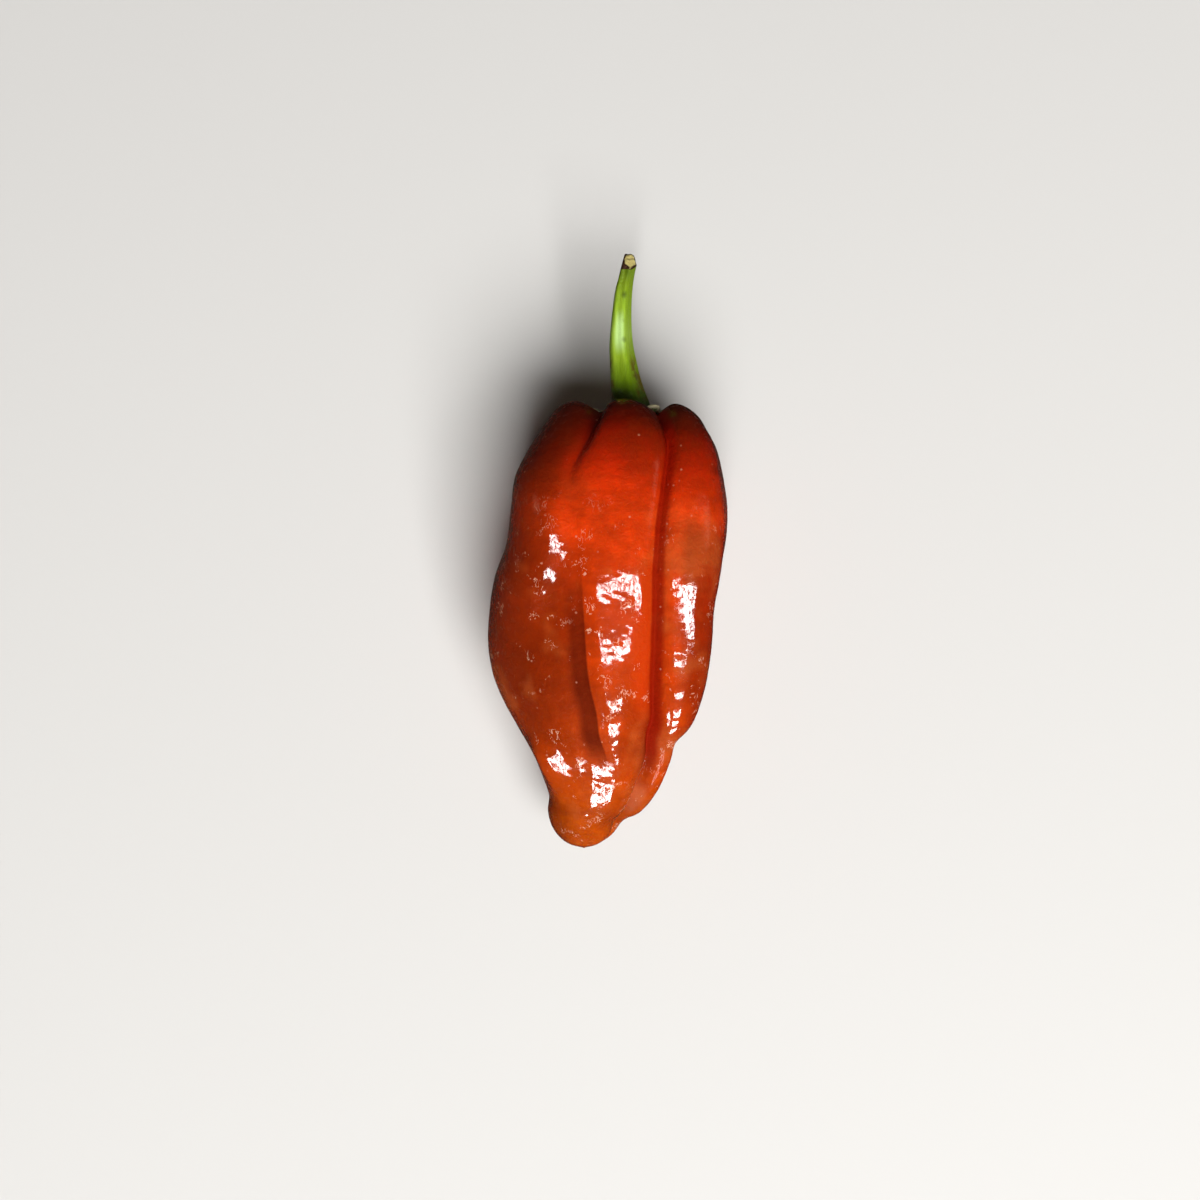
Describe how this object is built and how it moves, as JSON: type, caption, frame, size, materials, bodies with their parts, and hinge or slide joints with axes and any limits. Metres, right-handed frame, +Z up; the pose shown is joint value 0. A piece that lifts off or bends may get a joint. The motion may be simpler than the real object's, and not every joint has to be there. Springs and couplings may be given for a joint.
{
  "type": "chilli pepper",
  "caption": "Ripe glossy brown-red chilli pepper lying on its side, a broad lobed and furrowed pod tapering to a blunt tip, with a green calyx and a curved green stem.",
  "frame": {"origin": "middle of the whole pepper's bounding box, on the surface that it lies on", "axes": "+Y along the pod from its tip to its stem, +Z up, +X to the right as seen from above with the stem away from the viewer"},
  "size_m": [0.039, 0.0982, 0.0357],
  "materials": {
    "pod_skin": "glossy waxy vegetable skin, brown-red, darker at the shoulders and orange-red at the furrow and the tip, finely wrinkled",
    "calyx_green": "matt green sepals with a pale corky edge",
    "stem_green": "smooth satin green, ridged lengthways, with a brown and cream torn end"
  },
  "bodies": {
    "root": {"pod": "pod_skin", "calyx": "calyx_green", "stem": "stem_green"}
  },
  "joints": []
}
